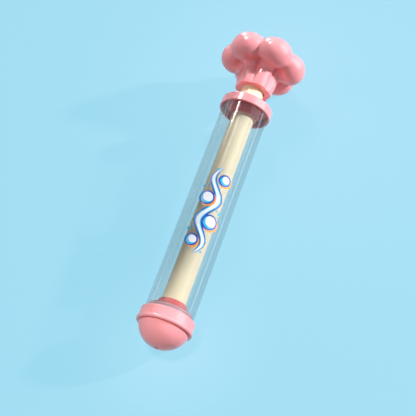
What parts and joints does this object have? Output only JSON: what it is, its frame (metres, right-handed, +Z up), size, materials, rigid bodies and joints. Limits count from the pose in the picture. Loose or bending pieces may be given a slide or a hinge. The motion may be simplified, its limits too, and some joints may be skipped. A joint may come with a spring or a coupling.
{
  "type": "water squirter",
  "caption": "Pull-plunger water squirter toy with a clear barrel, domed pink nozzle, cream push rod with a sealed piston, and a petal-shaped pink knob.",
  "frame": {"origin": "mouth of the jet hole at the tip of the nozzle, on the toy's axis", "axes": "+Y along the axis from the nozzle to the knob, +Z up with the toy lying on its side on two petals and the nozzle's bead, +X to the right seen from the nozzle end"},
  "size_m": [0.0864, 0.327, 0.0796],
  "materials": {
    "pink_plastic": "glossy moulded",
    "clear_plastic": "clear polished",
    "cream_plastic": "satin moulded",
    "seal_rubber": "matt",
    "screw_steel": "plain",
    "print_film": null
  },
  "bodies": {
    "barrel": {"barrel_tube": "clear_plastic", "barrel_print": "print_film", "rear_collar": "pink_plastic", "rod_guide": "pink_plastic", "nozzle_collar": "pink_plastic", "nozzle_dome": "pink_plastic", "jet_insert": "pink_plastic", "tube_gasket": "seal_rubber", "dome_seal": "seal_rubber"},
    "seal": {"piston_seal": "seal_rubber"},
    "plunger": {"push_rod": "cream_plastic", "rod_front_plug": "cream_plastic", "rod_rear_plug": "cream_plastic", "piston_hub": "pink_plastic", "piston_retainer": "pink_plastic", "piston_screw": "screw_steel", "piston_washer": "seal_rubber", "knob_skirt": "pink_plastic", "knob_crown": "pink_plastic", "knob_sleeve": "pink_plastic", "knob_screw": "screw_steel", "knob_button": "pink_plastic"}
  },
  "joints": [
    {"name": "plunger_slide", "type": "slide", "parent": "barrel", "child": "seal", "axis": [0, 1, 0], "range_m": [0, 0.2026]},
    {"name": "plunger_turn", "type": "hinge", "parent": "seal", "child": "plunger", "pos_m": [0, 0.033, 0], "axis": [0, 1, 0], "continuous": true}
  ]
}
